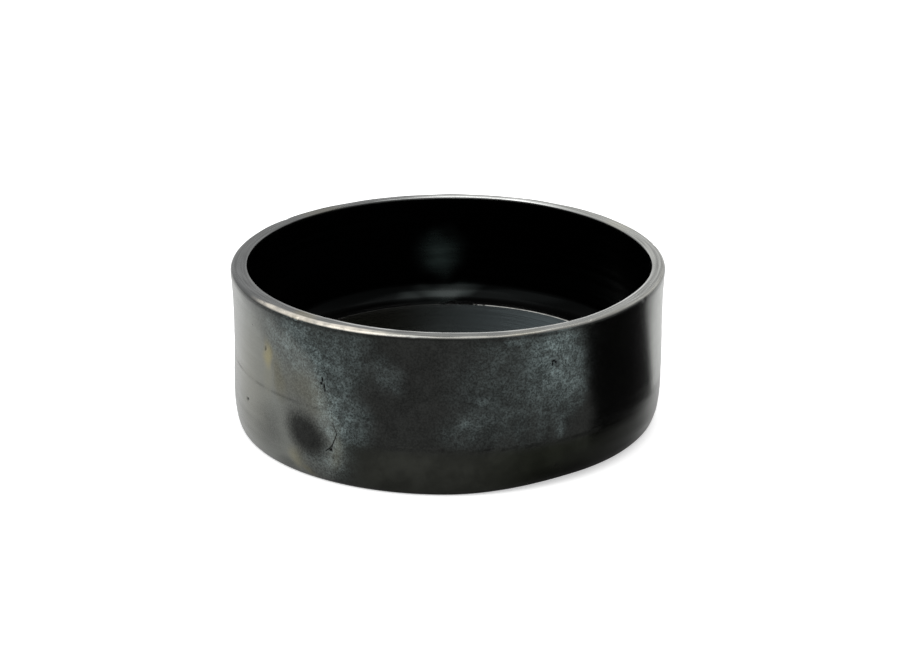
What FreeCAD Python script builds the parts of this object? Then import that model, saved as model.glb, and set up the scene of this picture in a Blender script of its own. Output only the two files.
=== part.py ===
import FreeCAD, Part
import os
import Sketcher

# Straight-walled thrown clay bowl, millimetres, +Z up, origin at the centre of the resting face.
# One piece of clay: the wall, the floor and the lip were raised from a single lump, so it is one body.

NODE = "bowl"

# name, value (mm or degrees), meaning
DIMENSIONS = (
    ("rim_radius", 100.0, "outside of the lip, at its top"),
    ("bowl_height", 75.6, "resting face to lip top"),
    ("lip_radius", 98.8, "narrowest part of the wall, where the lip starts to flare"),
    ("lip_height", 64.0, "height where the lip starts to flare"),
    ("heel_radius", 99.1, "widest part of the lower wall"),
    ("heel_height", 20.0, "height where the wall turns in to the heel"),
    ("base_radius", 96.6, "heel corner before it is rounded"),
    ("wall_at_rim", 6.4, "wall thickness at the lip"),
    ("wall_draft", 2.1, "how much the inside narrows from lip to floor"),
    ("floor_height", 24.0, "resting face to inside floor"),
    ("cove_round", 10.0, "inside corner between wall and floor"),
    ("heel_round", 5.0, "outside bottom corner"),
    ("lower_blend", 80.0, "soft turn where the heel meets the wall"),
    ("lip_blend", 60.0, "soft turn under the lip"),
    ("rim_outer_round", 1.8, "rounded outer edge of the lip"),
    ("rim_inner_round", 0.6, "crisp inner edge of the lip"),
    ("cutter_clearance", 4.0, "how far a cutting profile runs past the clay"),
    ("line_width", 0.8, "width of a turned line"),
    ("line_depth", 0.35, "depth of a turned line"),
    ("low_line_height", 21.1, "turned line just above the heel"),
    ("low_line_radius", 98.95, "wall surface at that line"),
    ("high_line_height", 35.3, "turned line below the middle of the wall"),
    ("high_line_radius", 98.99, "wall surface at that line"),
    ("floor_line_radius", 80.4, "turned line round the edge of the floor"),
    ("full_turn", 360.0, "sweep of every turned feature"),
)
TOUCH = 0.05      # mm, how close an edge must be to the place it is looked for
LEAST_CUT = 1.0   # mm3, a cut that takes less than this has missed the clay


def build_sheet(doc):
    """Fill the sheet that drives every dimension; returns the sheet."""
    sheet = doc.addObject("Spreadsheet::Sheet", "Dimensions")
    for row, (name, value, meaning) in enumerate(DIMENSIONS, start=1):
        sheet.set("A%d" % row, name)
        sheet.set("B%d" % row, str(value))
        sheet.set("C%d" % row, meaning)
        sheet.setAlias("B%d" % row, name)
    doc.recompute()
    return sheet


def origin_plane(body, role):
    """The body's own origin plane with this role."""
    return next(f for f in body.Origin.OriginFeatures if f.Role == role)


def closed_profile(doc, body, name, corners):
    """Sketch a closed polygon on the body's XZ plane.

    Each corner is (x expression, y expression); None keeps that coordinate on the axis.
    Every other coordinate is a named constraint driven by the sheet.
    """
    sketch = doc.addObject("Sketcher::SketchObject", name)
    body.addObject(sketch)
    sketch.AttachmentSupport = [(origin_plane(body, "XZ_Plane"), "")]
    sketch.MapMode = "FlatFace"
    scratch = "Evaluate"
    sketch.addProperty("App::PropertyFloat", scratch)
    places = []
    for pair in corners:
        place = []
        for text in pair:
            if text is None:
                place.append(0.0)
                continue
            sketch.setExpression(scratch, text)
            sketch.recompute()
            place.append(getattr(sketch, scratch))
        places.append(FreeCAD.Vector(place[0], place[1], 0.0))
    sketch.setExpression(scratch, None)
    sketch.removeProperty(scratch)

    count = len(places)
    for i in range(count):
        sketch.addGeometry(Part.LineSegment(places[i], places[(i + 1) % count]), False)
    for i in range(count):
        sketch.addConstraint(Sketcher.Constraint("Coincident", i, 2, (i + 1) % count, 1))
    for i, (x_text, y_text) in enumerate(corners):
        if x_text is None:
            sketch.addConstraint(Sketcher.Constraint("PointOnObject", i, 1, -2))
        else:
            drive(sketch, "DistanceX", i, places[i].x, x_text)
        if y_text is None:
            sketch.addConstraint(Sketcher.Constraint("PointOnObject", i, 1, -1))
        else:
            drive(sketch, "DistanceY", i, places[i].y, y_text)
    return sketch


def drive(sketch, kind, corner, value, text):
    """Hold one corner's distance from the sketch origin to an expression of the sheet."""
    index = sketch.addConstraint(Sketcher.Constraint(kind, -1, 1, corner, 1, value))
    label = "%s_of_corner_%d" % ("radius" if kind == "DistanceX" else "height", corner)
    sketch.renameConstraint(index, label)
    sketch.setExpression("Constraints." + label, text)


def turned(doc, body, kind, name, sketch):
    """Revolve or groove a profile a full turn about the bowl's axis."""
    before = body.Shape.Volume if kind == "PartDesign::Groove" else None
    feature = body.newObject(kind, name)
    feature.Profile = (sketch, [""])
    feature.ReferenceAxis = (sketch, ["V_Axis"])
    feature.setExpression("Angle", "Dimensions.full_turn")
    sketch.Visibility = False
    doc.recompute()
    if before is not None and before - feature.Shape.Volume < LEAST_CUT:
        raise RuntimeError(name + " cut nothing")
    return feature


def rounded(doc, body, name, radius_name, places):
    """Round the circular edges that pass through the given (radius, height) places."""
    base = body.Tip
    edges = []
    for radius, height in places:
        found = [i for i, edge in enumerate(base.Shape.Edges, start=1)
                 if isinstance(edge.Curve, Part.Circle)
                 and abs(edge.Curve.Radius - radius) < TOUCH
                 and abs(edge.Curve.Center.z - height) < TOUCH]
        if len(found) != 1:
            raise RuntimeError("%s: %d edges at radius %.2f height %.2f"
                               % (name, len(found), radius, height))
        edges.append("Edge%d" % found[0])
    feature = body.newObject("PartDesign::Fillet", name)
    feature.Base = (base, edges)
    feature.setExpression("Radius", "Dimensions." + radius_name)
    doc.recompute()
    return feature


def turned_line(doc, body, name, corners):
    """Cut a fine V line all the way round."""
    return turned(doc, body, "PartDesign::Groove", name,
                  closed_profile(doc, body, name + "Profile", corners))


def wall_line(radius, height):
    """Corners of a V line in the outside wall at this radius and height."""
    d = "Dimensions."
    return (("%s%s - %sline_depth" % (d, radius, d), d + height),
            ("%s%s + %sline_depth" % (d, radius, d), "%s%s + %sline_width" % (d, height, d)),
            ("%s%s + %sline_depth" % (d, radius, d), "%s%s - %sline_width" % (d, height, d)))


def build_bowl(doc, sheet):
    """Turn the bowl: solid blank, softened outside, hollowed inside, lip and lines."""
    d = "Dimensions."
    body = doc.addObject("PartDesign::Body", "Body")
    body.Label = NODE

    blank = closed_profile(doc, body, "BlankProfile", (
        (None, None),
        (d + "base_radius", None),
        (d + "heel_radius", d + "heel_height"),
        (d + "lip_radius", d + "lip_height"),
        (d + "rim_radius", d + "bowl_height"),
        (None, d + "bowl_height")))
    turned(doc, body, "PartDesign::Revolution", "Blank", blank)

    rounded(doc, body, "LowerBlend", "lower_blend", [(sheet.heel_radius, sheet.heel_height)])
    rounded(doc, body, "LipBlend", "lip_blend", [(sheet.lip_radius, sheet.lip_height)])
    rounded(doc, body, "HeelRound", "heel_round", [(sheet.base_radius, 0.0)])

    # The cavity profile runs on above the lip along the same slope, so the lip keeps its thickness.
    mouth = d + "rim_radius - " + d + "wall_at_rim"
    slope = "%swall_draft / (%sbowl_height - %sfloor_height)" % (d, d, d)
    hollow = closed_profile(doc, body, "HollowProfile", (
        (None, d + "floor_height"),
        ("%s - %swall_draft" % (mouth, d), d + "floor_height"),
        ("%s + %s * %scutter_clearance" % (mouth, slope, d),
         "%sbowl_height + %scutter_clearance" % (d, d)),
        (None, "%sbowl_height + %scutter_clearance" % (d, d))))
    turned(doc, body, "PartDesign::Groove", "Hollow", hollow)

    mouth_radius = sheet.rim_radius - sheet.wall_at_rim
    rounded(doc, body, "CoveRound", "cove_round",
            [(mouth_radius - sheet.wall_draft, sheet.floor_height)])
    rounded(doc, body, "RimOuterRound", "rim_outer_round", [(sheet.rim_radius, sheet.bowl_height)])
    rounded(doc, body, "RimInnerRound", "rim_inner_round", [(mouth_radius, sheet.bowl_height)])

    turned_line(doc, body, "LowLine", wall_line("low_line_radius", "low_line_height"))
    turned_line(doc, body, "HighLine", wall_line("high_line_radius", "high_line_height"))
    turned_line(doc, body, "FloorLine", (
        (d + "floor_line_radius", "%sfloor_height - %sline_depth" % (d, d)),
        ("%sfloor_line_radius + %sline_width" % (d, d), "%sfloor_height + %sline_depth" % (d, d)),
        ("%sfloor_line_radius - %sline_width" % (d, d), "%sfloor_height + %sline_depth" % (d, d))))
    return body


def check(doc):
    """Stop if any feature is in error or any shape is empty or broken."""
    for obj in doc.Objects:
        if "Invalid" in obj.State or "Error" in obj.State:
            raise RuntimeError("%s is in state %s" % (obj.Name, obj.State))
        if obj.isDerivedFrom("PartDesign::Feature") or obj.isDerivedFrom("PartDesign::Body"):
            if obj.Shape.isNull() or not obj.Shape.isValid():
                raise RuntimeError("%s has no sound shape" % obj.Name)


def main():
    """Build the bowl, check it and write its STEP file."""
    doc = FreeCAD.newDocument("ClayBowl")
    sheet = build_sheet(doc)
    body = build_bowl(doc, sheet)
    doc.recompute()
    check(doc)
    if len(body.Shape.Solids) != 1:
        raise RuntimeError("the bowl is not one solid")
    os.makedirs("parts", exist_ok=True)
    body.Shape.exportStep("parts/%s.step" % body.Label)
    print("%s: volume %.1f cm3" % (body.Label, body.Shape.Volume / 1000.0))


main()
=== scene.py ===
import math

import bmesh
import bpy
import numpy as np
from mathutils import Matrix, Vector


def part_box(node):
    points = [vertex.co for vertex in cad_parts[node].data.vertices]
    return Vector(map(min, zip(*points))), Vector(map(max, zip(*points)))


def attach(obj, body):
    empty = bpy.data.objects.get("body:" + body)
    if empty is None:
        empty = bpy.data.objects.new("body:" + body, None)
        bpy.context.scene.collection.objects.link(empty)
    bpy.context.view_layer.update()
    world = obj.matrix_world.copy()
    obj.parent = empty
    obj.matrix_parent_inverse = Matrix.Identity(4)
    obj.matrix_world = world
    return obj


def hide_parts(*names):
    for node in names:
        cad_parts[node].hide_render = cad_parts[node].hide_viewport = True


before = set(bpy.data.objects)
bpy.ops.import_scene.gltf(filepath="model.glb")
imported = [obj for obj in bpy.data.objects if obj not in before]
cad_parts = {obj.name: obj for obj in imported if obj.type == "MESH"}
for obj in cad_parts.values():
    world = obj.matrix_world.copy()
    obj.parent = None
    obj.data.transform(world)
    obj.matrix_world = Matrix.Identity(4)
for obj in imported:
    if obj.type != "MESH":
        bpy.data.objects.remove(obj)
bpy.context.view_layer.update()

# A straight-walled bowl of black smoke-fired clay: its shape, its smoke marks, the light and shade painted on
# it, and the studio it stands in.
NODE = "bowl"
NODE_LOW, NODE_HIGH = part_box(NODE)
MM = 0.001

# ---------------------------------------------------------------- shape, in millimetres
# Azimuth runs round the bowl from the front, positive to the right: az in radians, deg in degrees.
RIM_RADIUS = 100.2
HEIGHT = (NODE_HIGH.z - NODE_LOW.z) / MM
WALL_HEIGHTS = (17.0, 38.0, 60.0)          # where the wall's radius is known
WALL_RADII = (99.40, 99.35, 99.45)
LIP_ROUND = 1.9                            # outer edge of the lip
LIP_INNER_ROUND = 0.5
LIP_BEVEL = 0.18                           # the lip's inner edge is rubbed down by this much
BEVEL_FROM = 0.80                          # share of the way across the lip where that starts
LIP_DROP = 0.6                             # the lip dips by this much at the front right
MOUTH_RADIUS = 93.5
MOUTH_SHIFT = (0.8, 1.8)                   # the hollow is a little off centre, to the right and the back
LIP_OPENED = 1.9                           # the lip's inner edge stands further out at the front by this
LIP_CLOSED = 1.6                           # and further in at the back right
WALL_DRAFT = 2.1                           # the inside narrows this much from lip to floor
COVE_RADIUS = 10.0
FLOOR_HEIGHT = 24.0
FLOOR_RADIUS = 81.0                        # of the inside floor, on average
FLOOR_DISH = 0.9
RING_INSET = 1.3                           # from the edge of the floor to the scored ring
HEEL_DEPTH, HEEL_RISE = 3.6, 17.5          # quarter ellipse between the wall and the base
HEEL_DEPTH_RIGHT, HEEL_RISE_RIGHT = 1.5, 4.5   # how much larger it is at the front right
FOOT_LIFT = 1.8                            # the edge of the base stands clear of the ground there
BASE_RADIUS = 78.0                         # the part of the base inside that edge
BASE_HOLLOW = 0.5                          # it is very slightly hollow, so the bowl stands on its edge
LEAN = 0.65                                # the foot stands this far to the left of the rim
LEAN_HEIGHT = 42.0                         # and the wall is upright again here

LIP_FOOT = HEIGHT - LIP_ROUND              # where the wall starts to turn in to the lip
COVE_TOP = FLOOR_HEIGHT + COVE_RADIUS

AROUND = 544                               # mesh columns round the wall
WALL_RINGS = 49                            # mesh rings up the wall
FINE_CUTS = 4                              # extra cuts of each face in the fine patches
SEED = 7

rng = np.random.default_rng(SEED)


def smooth(t):
    """Smooth step from 0 to 1."""
    t = np.clip(t, 0.0, 1.0)
    return t * t * (3.0 - 2.0 * t)


def near(value, middle, reach, end):
    """1 close to the middle, falling to 0 over one reach, the last of end reaches out from the middle."""
    return smooth(end - np.abs(value - middle) / reach)


def window(deg, start, rise, stop, fall):
    """1 between two azimuths, fading in over rise after the first and out over fall before the second."""
    return smooth((deg - start) / rise) * smooth((stop - deg) / fall)


def turn_from(a, deg):
    """Degrees round from azimuth a, between -180 and 180."""
    return (deg - a + 180) % 360 - 180


def spaced(low, high, step):
    """Evenly spaced numbers from low to high, about a step apart, both ends in."""
    return np.linspace(low, high, max(2, int(round(abs(high - low) / step)) + 1))


WALL_FIT = np.polyfit(WALL_HEIGHTS + (LIP_FOOT,), WALL_RADII + (RIM_RADIUS,), 3)


def heel_size(az):
    """Depth and rise of the heel at each azimuth."""
    right = window(np.degrees(az), -2, 38, 96, 38)
    return HEEL_DEPTH + HEEL_DEPTH_RIGHT * right, HEEL_RISE + HEEL_RISE_RIGHT * right


def foot_radius(az):
    """Radius of the edge of the base, where the heel starts."""
    depth, rise = heel_size(az)
    return np.polyval(WALL_FIT, rise) - depth


def foot_lift(az):
    """How far the edge of the base stands off the ground at each azimuth."""
    return FOOT_LIFT * window(np.degrees(az), 0, 37, 155, 60)


def throat_radius(az):
    """Distance from the bowl's axis to the round hollow, carried straight up to the height of the lip."""
    along = MOUTH_SHIFT[0] * np.sin(az) - MOUTH_SHIFT[1] * np.cos(az)
    across = MOUTH_SHIFT[0] ** 2 + MOUTH_SHIFT[1] ** 2 - along ** 2
    return along + np.sqrt(MOUTH_RADIUS ** 2 - across)


def lip_wander(az):
    """How much the inner edge of the lip is opened out in front, and closed in at the back right."""
    deg = np.degrees(az)
    return LIP_OPENED * near(deg, 15, 40, 1.35) - LIP_CLOSED * near(deg, 122, 32, 1.25)


def mouth_radius(az):
    """Distance from the bowl's axis to the inner edge of the lip."""
    return throat_radius(az) + lip_wander(az)


def hollow_radius(az, z):
    """Distance from the bowl's axis to the inside wall at a height above the cove."""
    straight = throat_radius(az) - WALL_DRAFT * (HEIGHT - z) / (HEIGHT - FLOOR_HEIGHT)
    return straight + lip_wander(az) * smooth((z - COVE_TOP) / (HEIGHT - COVE_TOP))


def floor_edge(az):
    """Distance from the bowl's axis to the edge of the inside floor, where the cove ends."""
    return hollow_radius(az, COVE_TOP) - COVE_RADIUS


# The functions below give rings of (azimuths, radii, heights), in order along the bowl's profile.
def ring(columns, radius, height):
    """One ring; its radius and height are numbers, or functions of azimuth."""
    az = np.arange(columns) * 2 * math.pi / columns - math.pi
    r = radius(az) if callable(radius) else np.full(columns, float(radius))
    z = height(az) if callable(height) else np.full(columns, float(height))
    return az, r, z


def base_rings():
    """From the middle of the base out to its edge."""
    rings = []
    for columns, radii in ((AROUND // 8, spaced(8, 40, 8)), (AROUND // 4, spaced(46, 66, 5)),
                           (AROUND // 2, spaced(70, 76, 3))):
        for radius in radii:
            rings.append(ring(columns, radius, BASE_HOLLOW * (1 - (radius / BASE_RADIUS) ** 2)))
    for share in (0.0, 0.2, 0.4, 0.6, 0.8, 0.92):
        rings.append(ring(AROUND, lambda az: BASE_RADIUS + (foot_radius(az) - BASE_RADIUS) * share,
                          lambda az: foot_lift(az) * share ** 1.6))
    return rings


def wall_rings():
    """Round the heel and up the outside wall."""
    rings = []
    for angle in np.radians(np.concatenate([spaced(90, 60, 4), spaced(55, 5, 4.5)])):
        rings.append(ring(
            AROUND, lambda az: foot_radius(az) + heel_size(az)[0] * np.cos(angle),
            lambda az: foot_lift(az) + (heel_size(az)[1] - foot_lift(az)) * (1 - np.sin(angle))))

    for share in np.linspace(0, 1, WALL_RINGS):
        def height(az):
            rise = heel_size(az)[1]
            return rise + (LIP_FOOT - rise) * share

        rings.append(ring(AROUND, lambda az: np.polyval(WALL_FIT, height(az)), height))
    return rings


def lip_rings():
    """Over the lip, from its outer edge to its inner one."""
    outer = RIM_RADIUS - LIP_ROUND
    rings = []
    for angle in np.radians(spaced(12, 90, 13)):
        rings.append(ring(AROUND, outer + LIP_ROUND * math.cos(angle),
                          LIP_FOOT + LIP_ROUND * math.sin(angle)))
    for share in spaced(0.1, 0.9, 0.1):
        fall = LIP_BEVEL * max(0.0, share - BEVEL_FROM) / (1 - BEVEL_FROM)
        rings.append(ring(
            AROUND, lambda az: outer + (mouth_radius(az) + LIP_INNER_ROUND - outer) * share,
            HEIGHT - fall))
    for angle in np.radians(spaced(0, 90, 22.5)):
        rings.append(ring(
            AROUND, lambda az: mouth_radius(az) + LIP_INNER_ROUND * (1 - math.sin(angle)),
            HEIGHT - LIP_BEVEL - LIP_INNER_ROUND * (1 - math.cos(angle))))
    return rings


def hollow_rings():
    """Down the inside wall and round the cove."""
    rings = []
    for z in spaced(HEIGHT - 1.6, COVE_TOP, 1.35):
        rings.append(ring(AROUND, lambda az: hollow_radius(az, z), z))
    for angle in np.radians(spaced(8, 90, 8)):
        rings.append(ring(
            AROUND, lambda az: hollow_radius(az, COVE_TOP) - COVE_RADIUS * (1 - math.cos(angle)),
            COVE_TOP - COVE_RADIUS * math.sin(angle)))
    return rings


def floor_rings():
    """From the edge of the inside floor to its middle."""
    rings = []
    for columns, insets in (
            (AROUND, (0.4, 0.7, 1.0, 1.3, 1.6, 1.9, 2.3, 3.0, 4.0, 5.5, 7, 9, 11, 13, 15)),
            (AROUND // 2, spaced(18, 36, 2.5)), (AROUND // 4, spaced(40, 60, 4)),
            (AROUND // 8, spaced(64, 76, 6))):
        for inset in insets:
            share = inset / FLOOR_RADIUS
            rings.append(ring(columns, lambda az: floor_edge(az) * (1 - share),
                              FLOOR_HEIGHT - FLOOR_DISH * (1 - (1 - share) ** 2)))
    return rings


def bridge(low, high):
    """Faces between two rings of vertex numbers, the same size or one half of the other."""
    n, m = len(low), len(high)
    if n == m:
        return [(low[i], low[(i + 1) % n], high[(i + 1) % n], high[i]) for i in range(n)]
    faces = []
    big, small = (low, high) if n > m else (high, low)
    for i in range(len(small)):
        a, b, c = big[2 * i], big[2 * i + 1], big[(2 * i + 2) % len(big)]
        d, e = small[i], small[(i + 1) % len(small)]
        faces += [(a, b, d), (b, e, d), (b, c, e)]
    return faces


def plain_bowl():
    """Vertices (mm) and faces of the undisturbed bowl."""
    points = [(0.0, 0.0, BASE_HOLLOW)]
    numbers = []
    for az, r, z in base_rings() + wall_rings() + lip_rings() + hollow_rings() + floor_rings():
        numbers.append(range(len(points), len(points) + len(az)))
        points += list(zip(r * np.sin(az), -r * np.cos(az), z))
    points.append((0.0, 0.0, FLOOR_HEIGHT - FLOOR_DISH))
    last = len(points) - 1
    first_ring, last_ring = numbers[0], numbers[-1]
    faces = [(0, first_ring[(i + 1) % len(first_ring)], first_ring[i]) for i in range(len(first_ring))]
    for low, high in zip(numbers, numbers[1:]):
        faces += bridge(low, high)
    faces += [(last, last_ring[i], last_ring[(i + 1) % len(last_ring)]) for i in range(len(last_ring))]
    return points, faces


# ---------------------------------------------------------------- marks in the clay
# Azimuth is in degrees from the front, positive to the right; height in mm above the base.
UNROLLED_RADIUS = 98.5                     # the wall is unrolled at this radius to lay out its marks
ARC = math.radians(1) * UNROLLED_RADIUS    # mm of wall in one degree

PITS = (  # azimuth, height, half width, half height, depth
    (-33.8, 49.2, 0.55, 1.5, 0.45), (-33.2, 46.2, 0.5, 1.3, 0.40), (-34.1, 47.4, 0.9, 0.7, 0.25),
    (27.6, 60.3, 0.9, 0.55, 0.50), (27.3, 58.9, 0.45, 1.0, 0.45), (28.2, 59.6, 0.45, 0.7, 0.35),
    (29.3, 9.2, 1.1, 0.6, 0.25), (-55.0, 54.3, 0.8, 0.8, 0.20), (3.9, 67.4, 0.6, 0.5, 0.25),
    (-33.0, 44.6, 0.5, 1.1, 0.30), (-31.2, 17.0, 0.9, 0.8, 0.20), (-30.2, 13.6, 0.6, 0.9, 0.15),
    (-66.0, 23.4, 1.3, 0.5, 0.20), (-63.5, 15.4, 0.9, 0.4, 0.15), (-61.6, 62.5, 0.7, 0.5, 0.20),
)
CRACKS = (  # points (azimuth, height) along each crack, half width, depth
    (((-30.6, 30.0), (-30.1, 27.6), (-29.4, 25.2)), 0.14, 0.16),
    (((-29.4, 25.2), (-30.0, 22.3), (-30.7, 19.4), (-31.6, 17.4), (-32.6, 16.0)), 0.20, 0.32),
    (((-30.7, 19.4), (-30.9, 17.6), (-30.7, 16.2)), 0.18, 0.25),
)
TRIM_HEIGHT, TRIM_CLIMB = 21.8, 3.4        # the lowest turned line, and how far it climbs to the right
LINE_DEPTH = 0.09                          # the deepest of the turned lines
RING_DEPTH = 0.20                          # depth of the scored ring round the floor
CRUMB_HEIGHT = 0.7                         # height of a crumb of grit, as a share of its size
LINES = (  # height, how far it climbs to the right, half width, depth, from azimuth, to azimuth
    (TRIM_HEIGHT, TRIM_CLIMB, 0.32, LINE_DEPTH, -24.0, 50.0),
    (35.2, 0.0, 0.30, 0.05, -84.0, -12.0),
    (15.6, 0.0, 0.30, 0.05, -74.0, -46.0),
    (62.4, 0.0, 0.30, 0.012, -34.0, 6.0),
)
CHIPS = (  # azimuth, half width, depth: flakes off the outer edge of the lip
    (-41.3, 1.5, 0.55), (-43.2, 0.8, 0.30), (-9.0, 0.9, 0.20), (38.5, 1.0, 0.25), (61.0, 1.4, 0.35),
    (104.0, 1.3, 0.35), (157.0, 1.0, 0.30), (-128.0, 1.5, 0.40),
)
FINE_PATCHES = (  # azimuth, height, half width and half height of the areas with a finer mesh, in mm
    (-30.8, 22.6, 5.5, 9.2), (-33.7, 47.4, 2.8, 4.6), (27.6, 59.5, 2.8, 3.2),
)
CRUMBS = (  # azimuth, distance in from the edge of the floor, size: grit fired on at the edge of the floor
    (178.9, 0.9, 1.70), (179.9, 1.8, 0.90), (177.6, 1.9, 0.80), (176.2, 1.0, 0.60), (174.2, 1.0, 1.40),
    (172.8, 1.2, 1.30), (171.6, 1.0, 0.80), (170.2, 1.7, 0.55), (181.6, 1.3, 0.55), (167.5, 1.0, 0.40),
    (95.0, 0.4, 0.6), (88.0, 0.3, 0.4), (-70.0, 0.3, 0.5), (-12.0, 0.4, 0.6), (30.0, 0.2, 0.4),
)


def refine(bm):
    """Divide the faces in the fine patches in five both ways."""
    for az, z, half_wide, half_high in FINE_PATCHES:
        inside = set()
        for v in bm.verts:
            x, y, h = v.co
            if math.hypot(x, y) < MOUTH_RADIUS + 0.5 or abs(h - z) > half_high:
                continue
            if abs(math.degrees(math.atan2(x, -y)) - az) * ARC < half_wide:
                inside.add(v)
        edges = [e for e in bm.edges if e.verts[0] in inside and e.verts[1] in inside]
        bmesh.ops.subdivide_edges(bm, edges=edges, cuts=FINE_CUTS, use_grid_fill=True)


def lobes(az, counts, size):
    """A smooth random wave round the bowl, made of these whole numbers of lobes."""
    wave = np.zeros_like(az)
    for count in counts:
        wave += size / count * np.cos(count * az + rng.uniform(0, 2 * math.pi))
    return wave


def wander(az, z):
    """Slow wander of the wall outwards, and of the lip upwards, in mm."""
    share = np.clip(z / HEIGHT, 0, 1)
    out = lobes(az, (3, 5, 7), 0.14) * share ** 1.5 + lobes(az, (3, 4, 7), 0.10) * np.sin(share * math.pi)
    up = lobes(az, (2, 3, 5), 0.20) - LIP_DROP * near(np.degrees(az), 28, 26, 1.3)
    return out, up * smooth((share - 0.4) / 0.6)


def crossed_waves(az, z, number, size, around, per_mm):
    """A number of random waves of one size, with lobes round the bowl and turns per mm from two ranges."""
    total = np.zeros_like(az)
    for _ in range(number):
        count, pitch = rng.integers(*around), rng.uniform(*per_mm)
        total += np.cos(count * az + pitch * z + rng.uniform(0, 6.3)) * size
    return total


def along_line(u, v, points):
    """Distance from each (u, v) to a chain of points, in mm."""
    best = np.full(len(u), np.inf)
    for (a0, h0), (a1, h1) in zip(points, points[1:]):
        p, q = np.array([a0 * ARC, h0]), np.array([a1 * ARC, h1])
        d = q - p
        t = np.clip(((u - p[0]) * d[0] + (v - p[1]) * d[1]) / (d @ d), 0, 1)
        best = np.minimum(best, np.hypot(u - p[0] - t * d[0], v - p[1] - t * d[1]))
    return best


def wall_damage(u, v):
    """Depth of the pits and cracks at each (u, v) of the unrolled wall, and how far into one each point lies.
    """
    depths, marks = [], []
    for a, h, half_wide, half_high, depth in PITS:
        depths.append(depth)
        marks.append(smooth(1.35 - np.hypot((u - a * ARC) / half_wide, (v - h) / half_high)))
    for points, half_wide, depth in CRACKS:
        depths.append(depth)
        marks.append(smooth(1.5 - along_line(u, v, points) / half_wide))
    return np.dot(depths, marks), np.max(marks, axis=0)


def climbing(deg, height, climb):
    """Height of a turned line that climbs to the right of the front."""
    return height + climb * smooth((deg - 30) / 50)


def turned_lines(az, z):
    """Depth of the turned lines in the outside wall, faint and broken here and there."""
    deg = np.degrees(az)
    deepest = np.zeros_like(az)
    for height, climb, half_wide, depth, start, stop in LINES:
        dashes = np.cos(47 * az + height) + np.cos(29 * az - 2 * height) + np.cos(13 * az + 3 * height)
        strength = window(deg, start, 8, stop, 8) * (0.35 + 0.65 * smooth(0.5 + 0.4 * dashes))
        cut = near(z, climbing(deg, height, climb), half_wide, 1.6)
        deepest = np.maximum(deepest, depth * strength * cut)
    return deepest


def lip_chips(u, r, z):
    """Depth of the flakes off the outer edge of the lip."""
    edge = smooth(1.5 - np.hypot(r - (RIM_RADIUS - 0.4), z - (HEIGHT - 0.5)) / 1.1)
    return edge * sum(depth * near(u, a * ARC, half_wide, 1.4) for a, half_wide, depth in CHIPS)


def turned_floor(az, r, inset):
    """Depth of the turned rings on the inside floor."""
    rings = 0.05 * np.cos(r * 1.9 + 0.6 * np.sin(az)) + 0.03 * np.cos(r * 3.1 + 1.1) * (r > 40)
    return rings * smooth(inset / 3)


def grit_crumbs(deg, inset):
    """Height of the grit at the edge of the floor, and how far it darkens each point."""
    height, dark = np.zeros_like(deg), np.zeros_like(deg)
    for a, from_edge, size in CRUMBS:
        away = np.hypot(turn_from(a, deg) * math.radians(1) * FLOOR_RADIUS, inset - from_edge) / size
        height = height + CRUMB_HEIGHT * size * smooth(1.4 - away)
        dark = np.maximum(dark, smooth((1.7 - away) / 0.6))
    return height, dark


def shape_clay(plain):
    """Move plain points (mm) as a hand made bowl's surface is moved; returns them and marks of its pits,
    cracks, turned lines, scored ring and grit.
    """
    x, y, z = plain.T
    az = np.arctan2(x, -y)
    deg = np.degrees(az)
    r = np.hypot(x, y)
    mouth = mouth_radius(az)
    inset = floor_edge(az) - r
    outside = (r > mouth + 1.2) & (z > 0.02)
    on_wall = outside & (z < HEIGHT - LIP_ROUND * 0.9)
    on_lip = (z > HEIGHT - LIP_BEVEL - 0.02) & (r > mouth)
    inner_wall = (r < mouth + 0.8) & (z > FLOOR_HEIGHT + 0.3) & (z < HEIGHT - 0.3)
    floor = (r < mouth - 6) & (z > FLOOR_HEIGHT - 3) & (z < FLOOR_HEIGHT + 0.5)
    near_floor = (r < mouth - 4) & (z > FLOOR_HEIGHT - 3) & (z < FLOOR_HEIGHT + 2)

    push, lift = wander(az, z)
    # burnishing leaves long shallow facets outside; fingers leave rings inside
    facets = crossed_waves(az, z, 9, 0.011, (2, 14), (0.25, 1.5)) * smooth(z / 5)
    fingers = crossed_waves(az, z, 6, 0.03, (0, 3), (0.9, 2.6))
    damage, pit_and_crack = wall_damage(deg * ARC, z)
    lines = turned_lines(az, z) * on_wall
    chips = lip_chips(deg * ARC, r, z) * outside
    push = push + (facets - damage) * on_wall + fingers * inner_wall - lines - chips

    # the lip's top is rubbed by hand: it is flat to a tenth or so
    ripple = 0.05 * np.cos(17 * az + 0.7) + 0.04 * np.cos(29 * az + 2.1 + r) + 0.05 * np.cos(7 * az + 0.5 * r)
    scored = near(inset, RING_INSET, 0.5, 1.5) * floor
    crumbs, grit = grit_crumbs(deg, inset)
    down = (0.8 * chips + ripple * on_lip + RING_DEPTH * scored
            + turned_floor(az, r, inset) * floor - crumbs * near_floor)

    lean = LEAN * (1 - smooth(z / LEAN_HEIGHT))
    out = np.c_[(r + push) * np.sin(az) - lean, -(r + push) * np.cos(az), z + lift - down]
    out[z < 1e-6, 2] = 0.0
    return out, {"pit_and_crack": pit_and_crack * on_wall, "line": lines / LINE_DEPTH, "ring": scored,
                 "grit": grit * near_floor}


# ---------------------------------------------------------------- smoke marks and painted light
def wandering(xyz, size, scale):
    """Two smooth random offsets in mm, to make the edges of marks irregular."""
    offsets = np.zeros((2, len(xyz)))
    for _ in range(14):
        for offset in offsets:
            way = rng.normal(size=3)
            way *= rng.uniform(0.5, 2.2) / scale / np.linalg.norm(way)
            offset += np.sin(xyz @ way + rng.uniform(0, 6.3)) * size * 0.37
    return offsets


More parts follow.
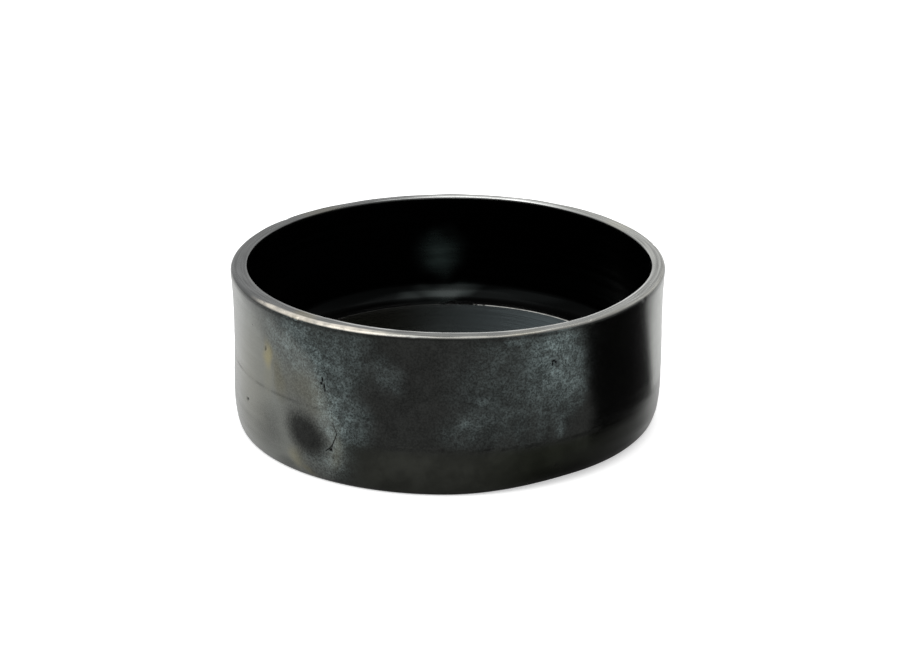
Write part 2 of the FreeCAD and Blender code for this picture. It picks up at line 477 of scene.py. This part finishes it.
def spot(u, v, az, z, half_wide, half_high, tilt, soft):
    """An oval mark on the unrolled wall: 1 in its middle, 0 outside, soft at its edge."""
    c, s = math.cos(math.radians(tilt)), math.sin(math.radians(tilt))
    turn = turn_from(az, u / ARC) * ARC
    a = (turn * c + (v - z) * s) / half_wide
    b = (-turn * s + (v - z) * c) / half_high
    return smooth((1 + soft - np.hypot(a, b)) / (2 * soft))


def each_spot(u, v, spots):
    """Each of these spots times its strength, which is its last number."""
    return [mark[-1] * spot(u, v, *mark[:-1]) for mark in spots]


PALE_EDGE = (  # height, azimuth where the pale ash of the left side ends
    (0, -34), (5, -30), (10, -29), (15, -27.5), (22, -28.5), (30, -30), (36, -31), (42, -32),
    (48, -34), (54, -37), (60, -42), (66, -46.5), (71, -50), (76, -52),
)
SMOKE_MARK = (-38.9, 20.9, 12.0, 8.1, -30, 0.52)    # the round one near the heel
DIM_SPOTS = (  # marks that thin the ash: azimuth, height, half width, half height, tilt, softness, how much
    (-46.5, 61.5, 15.0, 9.5, -38, 0.7, 0.26),
    (-49.2, 44.7, 9.0, 3.6, -62, 0.8, 0.28),
    (-53.5, 19.5, 10.0, 9.0, 0, 0.8, 0.30),
    (-35.6, 10.0, 7.5, 6.0, -20, 0.6, 0.25),
    (-44.0, 2.0, 8.0, 3.0, 0, 0.7, 0.15),
    (-58.0, 75.2, 14.0, 3.0, 0, 0.7, 0.45),
    (-34.2, 49.0, 2.4, 5.0, 0, 0.8, 0.25),
    (-112.0, 34.0, 16.0, 20.0, 15, 0.7, 0.55),
    (-133.0, 60.0, 15.0, 11.0, -20, 0.7, 0.45),
)
BLOOM_SPOTS = (  # blue-grey smoke bloom: azimuth, height, half width, half height, tilt, softness, strength
    (-29.2, 31.0, 9.5, 21.0, 12, 0.8, 1.00),
    (-33.0, 12.5, 8.0, 5.0, 0, 0.7, 0.45),
    (-45.5, 61.5, 16.0, 10.0, -38, 0.8, 0.80),
    (-31.5, 66.0, 16.0, 11.0, 0, 0.8, 0.50),
    (-24.5, 55.0, 8.0, 8.0, 0, 0.8, 0.28),
    (-15.2, 57.0, 4.6, 7.0, 0, 0.8, 0.34),
    (-35.5, 58.0, 5.0, 11.0, 0, 0.8, 0.34),
    (-42.0, 72.0, 8.0, 4.0, 0, 0.8, 0.45),
    (18.0, 50.0, 27.0, 28.0, 0, 0.5, 0.26),
    (28.8, 60.0, 13.0, 18.0, 0, 0.8, 0.50),
    (30.5, 66.0, 6.0, 8.5, 0, 0.8, 0.48),
    (28.5, 53.5, 6.0, 6.0, 0, 0.8, 0.34),
    (26.5, 72.3, 8.5, 3.6, 0, 0.7, 0.42),
    (17.4, 72.4, 3.8, 2.8, 0, 0.7, 0.70),
    (33.5, 43.5, 5.0, 7.0, 0, 0.8, 0.34),
    (29.6, 28.2, 2.2, 5.0, 0, 0.8, 0.48),
    (4.0, 30.5, 10.0, 6.5, 0, 0.7, 0.24),
    (3.4, 33.4, 2.8, 2.4, 0, 0.7, 0.25),
    (7.6, 45.5, 2.4, 1.8, 0, 0.7, 0.35),
    (-66.0, 66.0, 12.0, 9.0, 0, 0.8, 0.20),
    (88.0, 46.0, 16.0, 20.0, 0, 0.8, 0.25),
    (118.0, 30.0, 22.0, 14.0, 20, 0.7, 0.50),
    (133.0, 58.0, 20.0, 12.0, -10, 0.7, 0.60),
    (160.0, 40.0, 18.0, 22.0, 35, 0.7, 0.35),
    (-165.0, 52.0, 24.0, 14.0, 5, 0.7, 0.45),
    (-172.0, 22.0, 20.0, 8.0, 0, 0.7, 0.25),
)
PALE_SPOTS = ((-41.5, 6.5, 7.0, 6.0, -20, 0.8, 0.30),)    # extra ash just above the foot
ASH_MOST, BLOOM_MOST = 1.25, 1.3           # where marks overlap, ash and bloom get no stronger than this
WARM_SPOTS = (  # tan marks: azimuth, height, half width, half height, tilt, softness, strength
    (-54.9, 53.4, 3.4, 5.2, 0, 0.8, 1.0),
    (-54.5, 46.0, 5.0, 11.0, 0, 0.8, 0.20),
    (-49.2, 44.7, 9.0, 3.6, -62, 0.8, 0.35),
    (-38.0, 40.5, 14.0, 7.0, -15, 0.8, 0.16),
    (-28.8, 19.0, 2.6, 6.5, 0, 0.8, 0.35),
    (-41.0, 8.6, 5.0, 5.0, -35, 0.7, 0.40),
    (-37.2, 4.6, 3.6, 2.0, -35, 0.7, 0.40),
    (-66.0, 34.0, 16.0, 26.0, 0, 0.8, 0.15),
    (143.0, 18.0, 12.0, 6.0, 0, 0.8, 0.5),
)
LIP_WARM = (  # tan marks on the lip: azimuth, half width, strength
    (-41.0, 7.0, 0.8), (122.0, 9.0, 0.5), (-140.0, 12.0, 0.4), (20.0, 8.0, 0.3),
)
REFLECTION_SPOTS_INSIDE = (  # faint painted reflection inside: azimuth, height, half width, half height, tilt, softness, strength
    (-177.6, 46.5, 8.5, 8.0, 0, 0.9, 0.60),
    (179.6, 28.8, 12.5, 3.4, 0, 0.7, 0.27),
    (-172.0, 26.2, 10.0, 2.0, 0, 0.8, 0.10),
)
LIP_SHEEN_ROUND = (  # azimuth, how pale the top of the lip is: partly worn clay, partly painted reflection
    (-180, 0.50), (-168, 0.12), (-150, 0.06), (-120, 0.08), (-90, 0.04), (-62, 0.05), (-45, 0.18),
    (-15, 0.36), (20, 0.38), (45, 0.78), (70, 0.95), (110, 1.0), (150, 0.80), (180, 0.50),
)


def along_table(value, table):
    """The table's second number where its first is value, on straight lines between its rows."""
    return np.interp(value, *zip(*table))


def trimmed_below(deg, z, margin, fade):
    """1 below the lowest turned line, fading to 0 over fade up to this margin above it."""
    return smooth((climbing(deg, TRIM_HEIGHT, TRIM_CLIMB) + margin - z) / fade)


def paint_wall(deg, u, v, z, smoked):
    """Amounts of ash, bloom and tan on the outside wall, with a painted shadow line under the lip."""
    wdeg = u / ARC
    # ash thins out to the right in two stages, and comes back on the far right
    edge = along_table(v, PALE_EDGE)
    ash = 0.60 * smooth((edge - wdeg) / 8 + 0.5) + 0.32 * smooth((edge - 15 - wdeg) / 10 + 0.5)
    ash = ash * smooth((wdeg + 152) / 30) * (1 - smoked)
    for dimmed in each_spot(u, v, DIM_SPOTS):
        ash = ash * (1 - dimmed)
    # below the low turned line the heel was trimmed later: little ash, and no bloom
    trimmed = trimmed_below(deg, z, 1.5, 3.5) * smooth((deg + 30) / 14)
    ash = ash + ASH_MOST * window(wdeg, 56, 14, 130, 28) * (1 - 0.6 * trimmed)
    ash = ash + sum(each_spot(u, v, PALE_SPOTS))
    bloom = sum(each_spot(u, v, BLOOM_SPOTS)) * (1 - 0.97 * trimmed) * (1 - smoked)
    # a narrow band under the lip has its ash and bloom taken out: a painted shadow line under the lip
    unshaded_by_lip = 1 - 0.85 * near(z, HEIGHT - 2.2, 0.8, 1.2)
    warm = np.max(each_spot(u, v, WARM_SPOTS), axis=0)
    return np.clip(ash, 0, ASH_MOST) * unshaded_by_lip, np.clip(bloom, 0, BLOOM_MOST) * unshaded_by_lip, warm


def paint_lip(az, r, mouth):
    """How strong the painted highlights along the lip's two edges are, and how tan the lip is."""
    deg = np.degrees(az)
    # painted highlights: along the outer edge mostly at the front left, along the inner edge in front and
    # behind
    front_left = window(deg, -64, 12, -7, 20)
    wide = LIP_ROUND + (1.7 * smooth((deg + 62) / 14) + 1.6 * smooth((deg + 38) / 26)) * front_left
    outer = smooth((r - RIM_RADIUS + wide) / 0.9) * (0.16 * smooth((deg + 60) / 30) + 0.84 * front_left)
    front = window(deg, -62, 46, 92, 30) + near(deg % 360, 165, 25, 1.4)
    inner = smooth((mouth + 0.9 + 1.1 * np.abs(np.cos(az)) - r) / 0.5) * (0.10 + 0.90 * front)
    warm = [amount * near(turn_from(a, deg) * ARC, 0, half_wide, 1.4) for a, half_wide, amount in LIP_WARM]
    return outer, inner, np.max(warm, axis=0)


def paint_marks(plain):
    """Numbers for each point, mostly from 0 to 1, which the material turns into colour and gloss."""
    x, y, z = plain.T
    az = np.arctan2(x, -y)
    deg = np.degrees(az)
    r = np.hypot(x, y)
    mouth = mouth_radius(az)
    within_wall = mouth + 0.3 + 2.0 * smooth((HEIGHT - 2.5 - z) / 3)
    inner = smooth((within_wall - r) / 0.6) * (z > FLOOR_HEIGHT - 3)
    outer = 1 - inner
    lip = smooth((z - (HEIGHT - 1.1)) / 0.6)
    wall = outer * (1 - lip)

    smoked = spot(deg * ARC, z, *SMOKE_MARK)
    shift = wandering(plain, 1.5, 9.0) + wandering(plain, 0.6, 2.6)
    u, v = deg * ARC + shift[0], z + shift[1]
    ash, bloom, warm = paint_wall(deg, u, v, z, smoked)
    outer_edge_highlight, inner_edge_highlight, lip_warm = paint_lip(az, r, mouth)

    # the floor starts at the scored ring; a painted highlight lies along the ring on the right
    inset = floor_edge(az) - r
    floor = smooth((inset - RING_INSET + 0.2) / 0.4) * inner * (z < FLOOR_HEIGHT + 0.6)
    not_floor = inner * (1 - floor)
    turn = deg % 360
    ring_highlight = window(turn, 92, 14, 182, 5) + 0.08 * smooth((turn - 178) / 6)
    return {
        "ash": ash * wall, "bloom": bloom * wall, "warm": np.maximum(warm * wall, lip_warm * lip),
        "heel": trimmed_below(deg, z, 2.5, 7.0) * smooth((deg + 36) / 18) * wall,
        "heel_dark": window(deg, 0, 26, 170, 40),
        "ragged": near(u / ARC, 64, 6, 1.3) * smooth((z - 18) / 8) * wall,
        # painted light on the lip: its tone is partly painted reflection, and both edges carry painted
        # highlights
        "lip": lip, "lip_pale_sheen": along_table(deg, LIP_SHEEN_ROUND), "outer_edge_highlight": outer_edge_highlight * lip, "inner_edge_highlight": inner_edge_highlight * lip,
        # painted reflection on the inside back wall and cove
        "inside": not_floor, "inside_reflection": np.max(each_spot(u, v, REFLECTION_SPOTS_INSIDE), axis=0) * not_floor,
        # painted light on the inside floor: darker on the left, lit on the right
        "floor": floor, "floor_painted_light": np.clip((x + 34) / 84, 0, 1.1) ** 1.8, "ring_highlight": ring_highlight,
        "base": smooth((0.4 - z) / 0.4) * (r < 92) * outer,
    }


# ---------------------------------------------------------------- build the piece
def build_bowl():
    """The bowl as one closed mesh, with its marks stored on its points."""
    points, faces = plain_bowl()
    bm = bmesh.new()
    verts = [bm.verts.new(p) for p in points]
    for face in faces:
        bm.faces.new([verts[i] for i in face])
    refine(bm)
    bmesh.ops.triangulate(bm, faces=[f for f in bm.faces if len(f.verts) > 4])
    bmesh.ops.recalc_face_normals(bm, faces=bm.faces)
    mesh = bpy.data.meshes.new("clay_bowl")
    bm.to_mesh(mesh)
    bm.free()

    flat = np.empty(len(mesh.vertices) * 3)
    mesh.vertices.foreach_get("co", flat)
    plain = flat.reshape(-1, 3)
    shaped, marks = shape_clay(plain)
    marks.update(paint_marks(plain))
    mesh.vertices.foreach_set("co", (shaped * MM).ravel())
    for name, values in marks.items():
        attribute = mesh.attributes.new(name, "FLOAT", "POINT")
        attribute.data.foreach_set("value", np.asarray(values, dtype=np.float32))
    mesh.polygons.foreach_set("use_smooth", np.ones(len(mesh.polygons), dtype=bool))
    mesh.update()
    piece = bpy.data.objects.new("clay_bowl", mesh)
    bpy.context.scene.collection.objects.link(piece)
    return piece


# ---------------------------------------------------------------- material
class Nodes:
    """Short names for building a node tree."""

    def __init__(self, material):
        material.use_nodes = True
        self.tree = material.node_tree
        self.tree.nodes.clear()

    def new(self, kind, **inputs):
        node = self.tree.nodes.new(kind)
        for name, value in inputs.items():
            self.put(node.inputs[name.replace("_", " ")], value)
        return node

    def put(self, socket, value):
        """Link a socket to the input, or set the input; a colour may leave out its alpha."""
        if isinstance(value, bpy.types.NodeSocket):
            self.tree.links.new(value, socket)
        elif socket.type == "RGBA":
            socket.default_value = tuple(value[:3]) + (1.0,)
        else:
            socket.default_value = value

    def finish(self, **inputs):
        """End the tree with a shader that has these inputs."""
        shader = self.new("ShaderNodeBsdfPrincipled", **inputs)
        self.new("ShaderNodeOutputMaterial", Surface=shader.outputs["BSDF"])

    def math(self, operation, *values, clamp=False):
        node = self.tree.nodes.new("ShaderNodeMath")
        node.operation = operation
        node.use_clamp = clamp
        for socket, value in zip(node.inputs, values):
            self.put(socket, value)
        return node.outputs[0]

    def times(self, a, b):
        return self.math("MULTIPLY", a, b)

    def line(self, value, slope, start):
        """Start plus slope times value."""
        return self.math("MULTIPLY_ADD", value, slope, start)

    def rest(self, value):
        """One minus value."""
        return self.math("SUBTRACT", 1.0, value)

    def ramp(self, value, low, high, to_low=0.0, to_high=1.0):
        node = self.tree.nodes.new("ShaderNodeMapRange")
        node.interpolation_type = "SMOOTHSTEP"
        for name, number in (("Value", value), ("From Min", low), ("From Max", high),
                             ("To Min", to_low), ("To Max", to_high)):
            self.put(node.inputs[name], number)
        return node.outputs["Result"]

    def mark(self, name):
        node = self.tree.nodes.new("ShaderNodeAttribute")
        node.attribute_name = name
        return node.outputs["Fac"]

    def noise(self, vector, scale, detail, roughness, distortion=0.0):
        node = self.new("ShaderNodeTexNoise", Vector=vector, Scale=scale, Detail=detail,
                        Roughness=roughness, Distortion=distortion)
        return node.outputs["Fac"]

    def vector(self, operation, *values):
        node = self.tree.nodes.new("ShaderNodeVectorMath")
        node.operation = operation
        for socket, value in zip(node.inputs, values):
            self.put(socket, value)
        return node

    def drawn_level(self, vector, times):
        """The vector with its height multiplied, so that noise is drawn out into level streaks."""
        return self.vector("MULTIPLY", vector, (1.0, 1.0, times)).outputs[0]

    def split(self, vector):
        return self.new("ShaderNodeSeparateXYZ", Vector=vector).outputs

    def length(self, vector):
        return self.vector("LENGTH", vector).outputs["Value"]

    def rings(self, place, around, across):
        """A vector whose noise is drawn out along circles about the bowl's axis."""
        x, y, _ = self.split(place)
        away = self.math("SQRT", self.math("ADD", self.times(x, x), self.times(y, y)))
        return self.new("ShaderNodeCombineXYZ", X=self.times(x, around), Y=self.times(y, around),
                        Z=self.times(away, across)).outputs[0]

    def scaled(self, colour, amount):
        node = self.vector("SCALE", colour)
        self.put(node.inputs["Scale"], amount)
        return node.outputs[0]

    def add(self, *vectors):
        total = vectors[0]
        for vector in vectors[1:]:
            total = self.vector("ADD", total, vector).outputs[0]
        return total

    def mix(self, amount, a, b):
        node = self.tree.nodes.new("ShaderNodeMix")
        node.data_type = "RGBA"
        self.put(node.inputs["Factor"], amount)
        colours = [socket for socket in node.inputs if socket.type == "RGBA"]
        for socket, value in zip(colours, (a, b)):
            self.put(socket, value)
        return next(socket for socket in node.outputs if socket.type == "RGBA")


BLACK = (0.0172, 0.0180, 0.0170)       # burnished black clay
ASH = (0.146, 0.152, 0.139)            # added by pale ash
BLOOM = (0.086, 0.110, 0.110)          # added by blue-grey smoke bloom
WARM = (0.088, 0.058, -0.026)          # added by a tan mark
HEEL = (0.0240, 0.0250, 0.0215)        # the trimmed heel, left of the front
HEEL_DARK = (0.0108, 0.0119, 0.0086)   # and right of it
LIP = (0.082, 0.086, 0.086)            # top of the lip where it is darkest, with the least painted reflection
LIP_PALEST_SHEEN = (0.365, 0.370, 0.350)       # and where it is palest: worn clay and painted reflection
HIGHLIGHT_INNER_EDGE = (0.84, 0.85, 0.83)         # painted highlight along its inner edge
HIGHLIGHT_OUTER_EDGE = (0.72, 0.67, 0.58)        # painted highlight along its outer edge
# the inside wall: the black clay painted much darker than outside, as shade in the hollow
SHADED_INSIDE = (0.0018, 0.0021, 0.0021)
REFLECTION_INSIDE = (0.026, 0.042, 0.039)         # added by the painted reflection inside
# painted light on the inside floor, shaded on the left and lit on the right
FLOOR_SHADED = (0.0040, 0.0040, 0.0030)
FLOOR_LIT = (0.068, 0.082, 0.086)
# painted highlight along the scored ring
HIGHLIGHT_RING = (0.62, 0.62, 0.59)
# darker colour in the pits, cracks and turned lines, and round the grit
MARK_DARK = (0.004, 0.004, 0.004)
BASE = (0.024, 0.024, 0.022)


def outside_colour(n, speck, cloud, clump, streak):
    """The wall and the heel: black clay with ash, bloom and tan marks."""
    ash, warm = n.mark("ash"), n.mark("warm")
    # ash is solid in its middle and breaks into specks where it thins
    thin = n.times(n.rest(ash), n.rest(speck))
    ash = n.times(n.times(ash, n.line(thin, -0.80, 1.0)), n.line(streak, 0.24, 0.90))
    added_ash = n.scaled(ASH, ash)
    grain = n.times(n.line(clump, 0.70, 0.38), n.line(speck, 1.20, 0.26))
    wall = n.add(n.scaled(BLACK, n.line(speck, 0.62, n.line(cloud, 0.34, 0.56))),
                 added_ash,
                 n.scaled(BLOOM, n.times(n.mark("bloom"), grain)),
                 n.scaled(WARM, n.times(warm, n.line(ash, 0.8, 0.12))))
    heel = n.scaled(n.mix(n.mark("heel_dark"), HEEL, HEEL_DARK), n.line(cloud, 0.4, 0.8))
    clay = n.mix(n.mark("heel"), wall, n.add(added_ash, heel))
    # the edge of the far right ash is ragged
    ragged = n.times(n.mark("ragged"), n.rest(speck))
    return n.scaled(clay, n.line(ragged, -0.72, 1.0))


def lip_colour(n, turned, highlight_breakup):
    """The lip: streaks along it, and painted highlights along both edges."""
    # the lip's tone round the bowl: partly worn pale clay, partly painted reflection
    lip = n.mix(n.mark("lip_pale_sheen"), LIP, LIP_PALEST_SHEEN)
    lip = n.scaled(lip, n.ramp(turned, 0.30, 0.70, 0.55, 1.45))
    lip = n.add(lip, n.scaled(WARM, n.times(n.mark("warm"), 0.6)))
    # painted highlights along the lip's inner and outer edges
    lip = n.mix(n.times(n.mark("inner_edge_highlight"), 0.85), lip, HIGHLIGHT_INNER_EDGE)
    return n.mix(n.times(n.mark("outer_edge_highlight"), highlight_breakup), lip, HIGHLIGHT_OUTER_EDGE)


def clay_colour(n, place, noises):
    """The colour of the clay from its marks and painted light, how much darker the pits, cracks, turned lines
    and grit are, and how strong the painted highlight on the scored ring is.
    """
    speck, cloud, clump, streak, turned = noises
    # noise that breaks up the painted highlights on the lip's outer edge and on the scored ring
    highlight_breakup = n.ramp(n.noise(place, 210.0, 4.0, 0.6), 0.30, 0.62, 0.45, 1.0)
    clay = outside_colour(n, speck, cloud, clump, streak)
    clay = n.mix(n.mark("lip"), clay, lip_colour(n, turned, highlight_breakup))

    # painted reflection on the inside back wall and cove
    inside_reflection = n.times(n.mark("inside_reflection"), n.line(streak, 1.2, 0.3))
    # the inside wall is painted darker than the clay outside, as shade in the hollow, and gets the painted
    # reflection
    clay = n.mix(n.mark("inside"), clay, n.add(SHADED_INSIDE, n.scaled(REFLECTION_INSIDE, inside_reflection)))
    # painted light across the inside floor, shaded on the left and lit on the right
    floor = n.mix(n.mark("floor_painted_light"), FLOOR_SHADED, FLOOR_LIT)
    clay = n.mix(n.mark("floor"), clay, n.scaled(floor, n.ramp(turned, 0.32, 0.68, 0.75, 1.25)))
    # painted highlight along the scored ring, on the right
    ring = n.times(n.times(n.mark("ring"), n.mark("ring_highlight")), n.rest(n.mark("grit")))
    clay = n.mix(n.times(ring, highlight_breakup), clay, HIGHLIGHT_RING)
    clay = n.mix(n.mark("base"), clay, n.scaled(BASE, n.line(cloud, 0.8, 0.6)))
    # darker in the pits, cracks and turned lines, and round the grit
    dark = n.math("MAXIMUM", n.mark("pit_and_crack"), n.mark("grit"))
    dark = n.math("MAXIMUM", dark, n.times(n.mark("line"), 0.60))
    return n.mix(dark, clay, MARK_DARK), dark, ring


def clay_material():
    """Smoke-fired burnished clay: colour, gloss and grain from the marks and from noise."""
    material = bpy.data.materials.new("smoked_clay")
    n = Nodes(material)
    place = n.new("ShaderNodeTexCoord").outputs["Object"]

    speck = n.ramp(n.noise(place, 1050.0, 6.0, 0.84), 0.40, 0.60)
    cloud = n.ramp(n.noise(place, 90.0, 4.0, 0.6, 0.3), 0.32, 0.68)
    clump = n.ramp(n.noise(n.drawn_level(place, 1.15), 190.0, 6.0, 0.70, 0.2), 0.38, 0.64)
    streak = n.noise(n.drawn_level(place, 16.0), 55.0, 5.0, 0.6)
    turned = n.noise(n.rings(place, 26.0, 1500.0), 1.0, 4.0, 0.6)
    clay, dark, ring = clay_colour(n, place, (speck, cloud, clump, streak, turned))

    matte = n.line(speck, 0.04, 0.165)
    for value, amount in ((streak, 0.06), (n.mark("lip"), 0.04), (n.mark("inside_reflection"), 0.20),
                          (dark, 0.45), (n.mark("base"), 0.30)):
        matte = n.line(value, amount, matte)

    # the black clay reflects like a dark metal; dull places reflect like plain clay: the inside floor, the
    # underside, the painted reflection inside, and the painted highlights on the lip's outer edge and the
    # scored ring
    dull = n.mark("floor")
    for name, amount in (("inside_reflection", 1.5), ("base", 0.6), ("outer_edge_highlight", 0.5)):
        dull = n.line(n.mark(name), amount, dull)
    dull = n.times(n.math("ADD", dull, ring, clamp=True), n.rest(n.mark("grit")))
    metal = n.math("SUBTRACT", 0.98, dull, clamp=True)

    # grain: burnish streaks, tiny pits and the clay's own tooth
    long_streak = n.noise(n.drawn_level(place, 40.0), 12.0, 3.0, 0.5)
    tooth = n.noise(place, 1500.0, 2.0, 0.5)
    pits = n.ramp(n.noise(place, 900.0, 2.0, 0.5), 0.30, 0.22)
    height = n.line(streak, 0.50, n.times(long_streak, 0.5))
    for value, amount in ((tooth, 0.12), (turned, n.times(n.mark("lip"), 0.8)), (pits, -0.25)):
        height = n.line(value, amount, height)
    bump = n.new("ShaderNodeBump", Strength=0.45, Distance=0.00020, Height=height)

    n.finish(Base_Color=clay, Roughness=matte, Metallic=metal, IOR=1.45, Normal=bump.outputs["Normal"])
    return material


bowl = build_bowl()
bowl.data.materials.append(clay_material())
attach(bowl, "root")
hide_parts(NODE)


# ---------------------------------------------------------------- floor, light and camera, in metres
FLOOR_HALF = 4.0
FLOOR_DROP, SHOWN_DROP = 0.0003, 0.0002    # how far under the bowl the two floors lie
CARD_RISE = 0.0003                         # how far over the bowl's foot the cards lie
PAPER = 0.86                               # grey of the floor
FLOOR_GLOW = 0.5                           # light given off by the floor that the camera sees
CARD_NEAR_SHADOW, CARD_HEEL_SHADOW = 0.42, 0.32          # greys of the black card near the bowl, and by its heel: painted shadow on the floor close to the bowl
CARD_GREY = 0.74                           # of the grey card
PAPER_ROUGHNESS = 0.9
WHITE = (1.0, 1.0, 1.0)
WORLD_STRENGTH = 0.80
LIGHT_AIM = (0.0, 0.0, 0.03)
CAMERA_PLACE = Vector((0.0, -1.2445, 0.5109))
CAMERA_TARGET = Vector((0.0009, 0.0, 0.0412))
CAMERA_ROLL = math.radians(-0.1)
SENSOR_WIDTH, LENS = 36.0, 114.2           # in millimetres
CLIP_END = 20.0


def paper_material(name, glow=0.0):
    """Plain pale paper, which may also glow a little."""
    material = bpy.data.materials.new(name)
    Nodes(material).finish(Base_Color=(PAPER,) * 3, Roughness=PAPER_ROUGHNESS,
                           Emission_Color=WHITE, Emission_Strength=glow)
    return material


def sheet_object(name, corners, height, material):
    """A flat sheet on the floor, which isn't part of the object."""
    mesh = bpy.data.meshes.new(name)
    mesh.from_pydata([(x, y, height) for x, y in corners], [], [tuple(range(len(corners)))])
    obj = bpy.data.objects.new(name, mesh)
    mesh.materials.append(material)
    bpy.context.scene.collection.objects.link(obj)
    return obj


def floor_sheet(name, drop, material):
    """The floor: a wide square sheet this far under the bowl."""
    corners = [(x * FLOOR_HALF, y * FLOOR_HALF) for x, y in ((-1, -1), (1, -1), (1, 1), (-1, 1))]
    return sheet_object(name, corners, NODE_LOW.z - drop, material)


def grey_between(n, amount, low, high):
    """The grey this far from low to high."""
    return n.line(amount, n.math("SUBTRACT", high, low), low)


def black_shade(n, place):
    """Black far out, mid grey nearer, and a soft dark patch close to the heel at the front right; the grey
    and the patch are painted shadow on the floor close to the bowl.
    """
    x, y, _ = n.split(place)
    away = n.length(place)
    # painted shadow on the floor close to the bowl, which only reflections show
    heel = n.times(n.ramp(x, 0.018, 0.060), n.ramp(y, -0.012, -0.058))
    heel = n.times(heel, n.ramp(away, 0.112, 0.099))
    near_bowl_shadow = n.times(n.ramp(n.math("ADD", x, y), -0.026, 0.026), n.ramp(y, 0.004, -0.035))
    near_bowl_shadow = n.times(near_bowl_shadow, n.ramp(away, 0.098, 0.108))
    grey = grey_between(n, near_bowl_shadow, PAPER, CARD_NEAR_SHADOW)
    grey = grey_between(n, n.ramp(away, 0.116, 0.136), grey, 0.0)
    return grey_between(n, heel, grey, CARD_HEEL_SHADOW)


def grey_shade(n, place):
    """Paper beside the bowl and mid grey further out."""
    return grey_between(n, n.ramp(n.length(place), 0.108, 0.116), PAPER, CARD_GREY)


def reflection_card(name, shade, corners):
    """A studio card on the floor that only reflections show, as dark as shade(nodes, place) says."""
    material = bpy.data.materials.new(name)
    n = Nodes(material)
    place = n.new("ShaderNodeTexCoord").outputs["Object"]
    n.finish(Base_Color=shade(n, place), Roughness=PAPER_ROUGHNESS)
    card = sheet_object(name, corners, NODE_LOW.z + CARD_RISE, material)
    card.visible_camera = card.visible_diffuse = card.visible_shadow = False


def soft_light(name, place, size, power):
    """A square soft light at a place, turned to face the bowl."""
    data = bpy.data.lights.new(name, "AREA")
    data.shape = "SQUARE"
    data.size = size
    data.energy = power
    light = bpy.data.objects.new(name, data)
    light.location = place
    light.rotation_euler = (Vector(LIGHT_AIM) - Vector(place)).to_track_quat("-Z", "Y").to_euler()
    bpy.context.scene.collection.objects.link(light)
    light.visible_camera = False


def studio_world():
    """Even white light from everywhere."""
    world = bpy.data.worlds.new("studio")
    bpy.context.scene.world = world
    world.use_nodes = True
    background = world.node_tree.nodes["Background"]
    background.inputs["Color"].default_value = WHITE + (1.0,)
    background.inputs["Strength"].default_value = WORLD_STRENGTH


def place_camera():
    """The camera, where it sees the bowl from the front and a little above."""
    data = bpy.data.cameras.new("camera")
    data.sensor_width = SENSOR_WIDTH
    data.lens = LENS
    data.clip_end = CLIP_END
    camera = bpy.data.objects.new("camera", data)
    turn = (CAMERA_TARGET - CAMERA_PLACE).to_track_quat("-Z", "Y").to_matrix().to_4x4()
    roll = Matrix.Rotation(CAMERA_ROLL, 4, "Z")
    camera.matrix_world = Matrix.Translation(CAMERA_PLACE) @ turn @ roll
    bpy.context.scene.collection.objects.link(camera)
    bpy.context.scene.camera = camera


# the floor the bowl mirrors, and an over-exposed copy of it for the camera, so its shadow stays pale
mirrored = floor_sheet("floor", FLOOR_DROP, paper_material("floor_paper"))
mirrored.visible_camera = False
shown = floor_sheet("floor_shown", SHOWN_DROP, paper_material("floor_over_exposed", glow=FLOOR_GLOW))
shown.visible_diffuse = shown.visible_glossy = shown.visible_shadow = False

# The black card makes the dark upright band on the wall; the grey one dims the wall's far left edge.
reflection_card("black_card", black_shade, (
    (0.0113, -0.0918), (0.0136, -0.1112), (0.043, -0.1034), (0.0685, -0.0886), (0.0805, -0.0779),
    (0.108, -0.083), (0.140, -0.083), (0.171, -0.099), (0.203, -0.112), (0.253, -0.128), (0.60, -0.24),
    (0.60, 0.20), (0.240, 0.076), (0.191, 0.062), (0.164, 0.045), (0.141, 0.027), (0.130, 0.016),
    (0.122, 0.004), (0.112, 0.010), (0.0925, 0.010), (0.0893, -0.024), (0.0801, -0.0463),
    (0.0654, -0.0654), (0.0463, -0.0801), (0.024, -0.0893)))
reflection_card("grey_card", grey_shade, (
    (-0.112, 0.012), (-0.120, 0.028), (-0.145, 0.079), (-0.175, 0.140), (-0.33, 0.45), (-0.06, 0.45),
    (-0.08, 0.08)))

studio_world()
soft_light("key", (-0.8, -0.45, 1.1), size=0.9, power=4.0)
soft_light("top", (0.0, -0.1, 1.4), size=1.2, power=9.0)
place_camera()
bpy.context.scene.view_settings.view_transform = "Standard"
